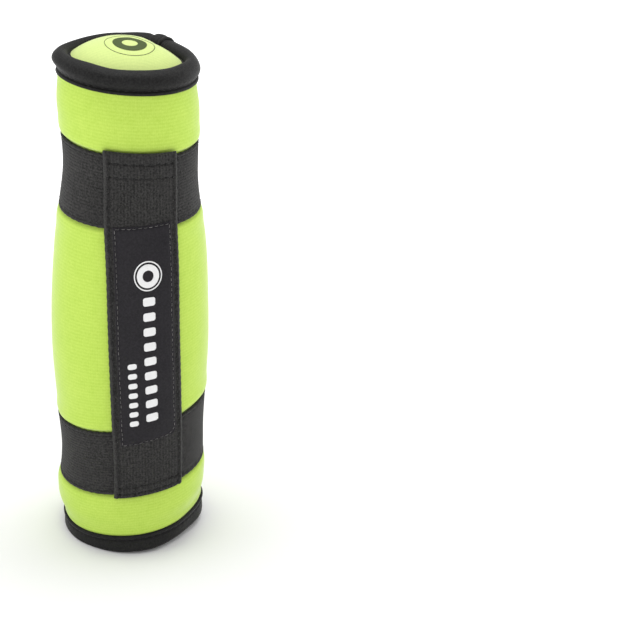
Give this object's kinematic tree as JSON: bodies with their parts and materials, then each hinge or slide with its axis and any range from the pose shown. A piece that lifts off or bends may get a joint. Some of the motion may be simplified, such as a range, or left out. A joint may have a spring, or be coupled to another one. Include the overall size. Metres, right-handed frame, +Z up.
{
  "type": "soft hand weight",
  "caption": "Filled neoprene hand weight with domed ends, bound rims, elastic bands and an elastic strap that lifts to take the hand.",
  "frame": {"origin": "centre of the base's flat patch, on the body's long axis", "axes": "+Z up the long axis from the base to the domed end, -Y out through the middle of the hand strap, +X to the right when facing the strap"},
  "size_m": [0.0714, 0.0753, 0.2375],
  "materials": {
    "neoprene": "knit-faced neoprene",
    "webbing": "ribbed elastic webbing",
    "binding": "smooth stretch tape",
    "thread": "matt sewing thread",
    "label": "smooth woven patch",
    "white_ink": "matt print",
    "dark_ink": "matt print",
    "bag": "coated nylon",
    "sand": "dry grain"
  },
  "bodies": {
    "weight": {"sand_fill": "sand", "inner_bag": "bag", "sleeve": "neoprene", "back_seam_thread": "thread", "top_panel": "neoprene", "base_panel": "neoprene", "top_emblem": "dark_ink", "base_emblem": "dark_ink", "top_binding": "binding", "base_binding": "binding", "top_binding_thread": "thread", "base_binding_thread": "thread", "upper_band": "webbing", "lower_band": "webbing", "upper_band_thread": "thread", "lower_band_thread": "thread", "strap_upper_end": "webbing", "strap_lower_end": "webbing", "strap_upper_thread": "thread", "strap_lower_thread": "thread"},
    "strap": {"strap_middle": "webbing", "strap_edge_thread": "thread", "label": "label", "label_thread": "thread", "label_emblem": "white_ink", "label_marks": "white_ink"}
  },
  "joints": [
    {"name": "strap_lift", "type": "slide", "parent": "weight", "child": "strap", "axis": [0, -1, 0], "range_m": [0, 0.025], "stiffness_N_per_m": 300}
  ]
}
